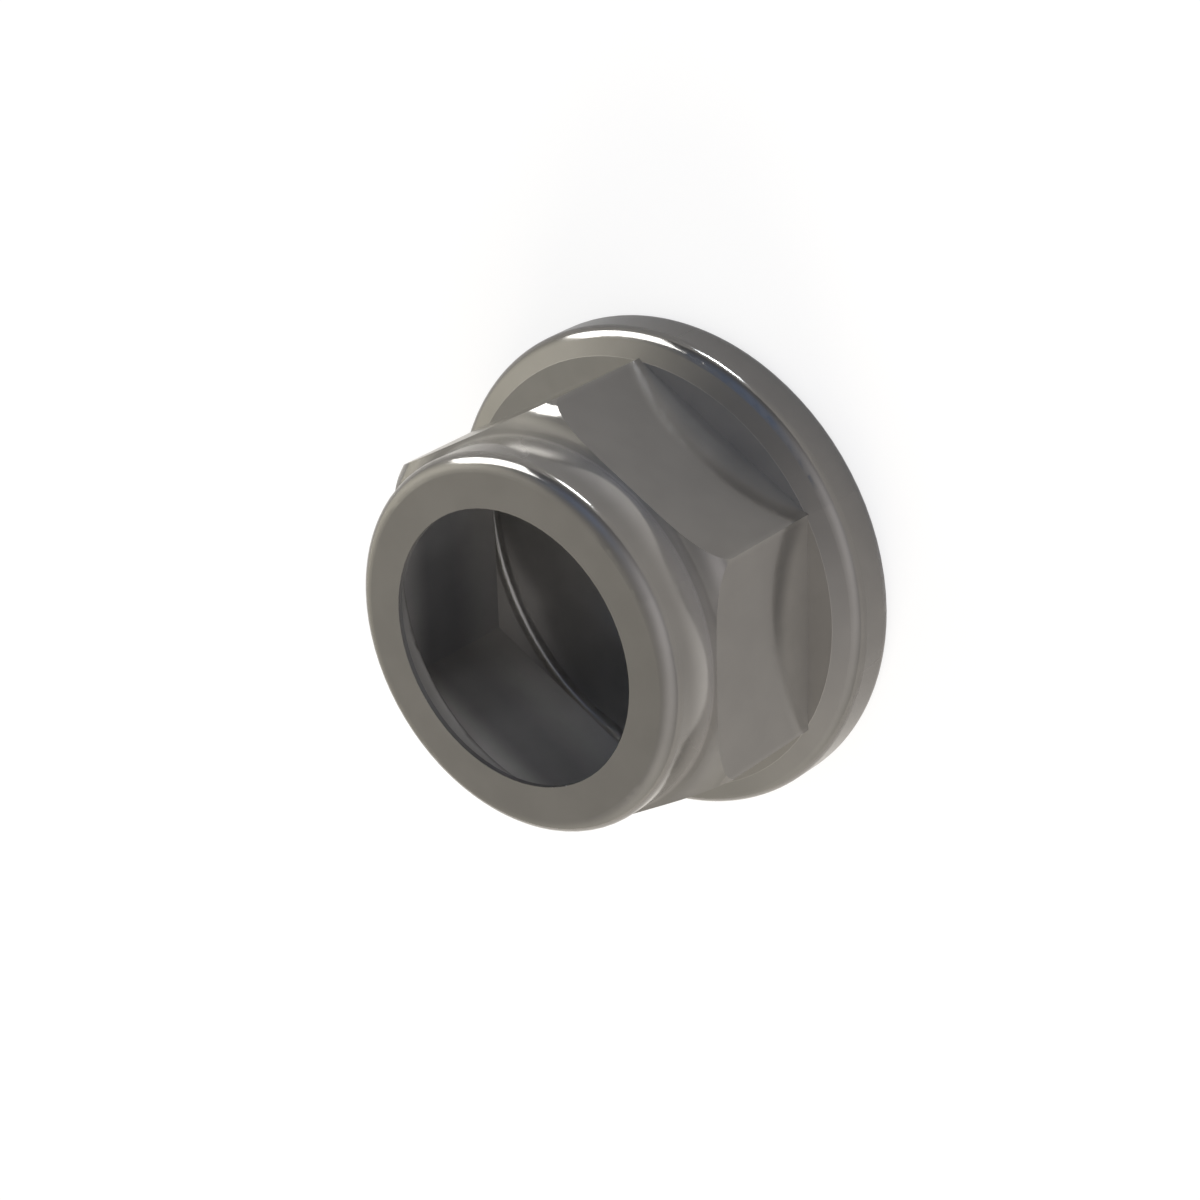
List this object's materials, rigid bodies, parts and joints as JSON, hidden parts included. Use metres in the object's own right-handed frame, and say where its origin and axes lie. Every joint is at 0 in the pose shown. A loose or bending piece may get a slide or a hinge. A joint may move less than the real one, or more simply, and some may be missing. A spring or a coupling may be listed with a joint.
{
  "type": "flanged hexagon lock nut",
  "caption": "Hollow flanged hexagon lock nut: round collar with a plain front hole, crowned hexagon, and a round flange with a sloping top.",
  "frame": {"origin": "centre of the flange's bearing face", "axes": "+Z along the nut's axis, from the bearing face towards the collar; two of the hexagon's corners lie on the X axis"},
  "size_m": [0.0166, 0.0166, 0.0089],
  "materials": {
    "metal": "satin"
  },
  "bodies": {
    "root": {"nut_body": "metal"}
  },
  "joints": []
}
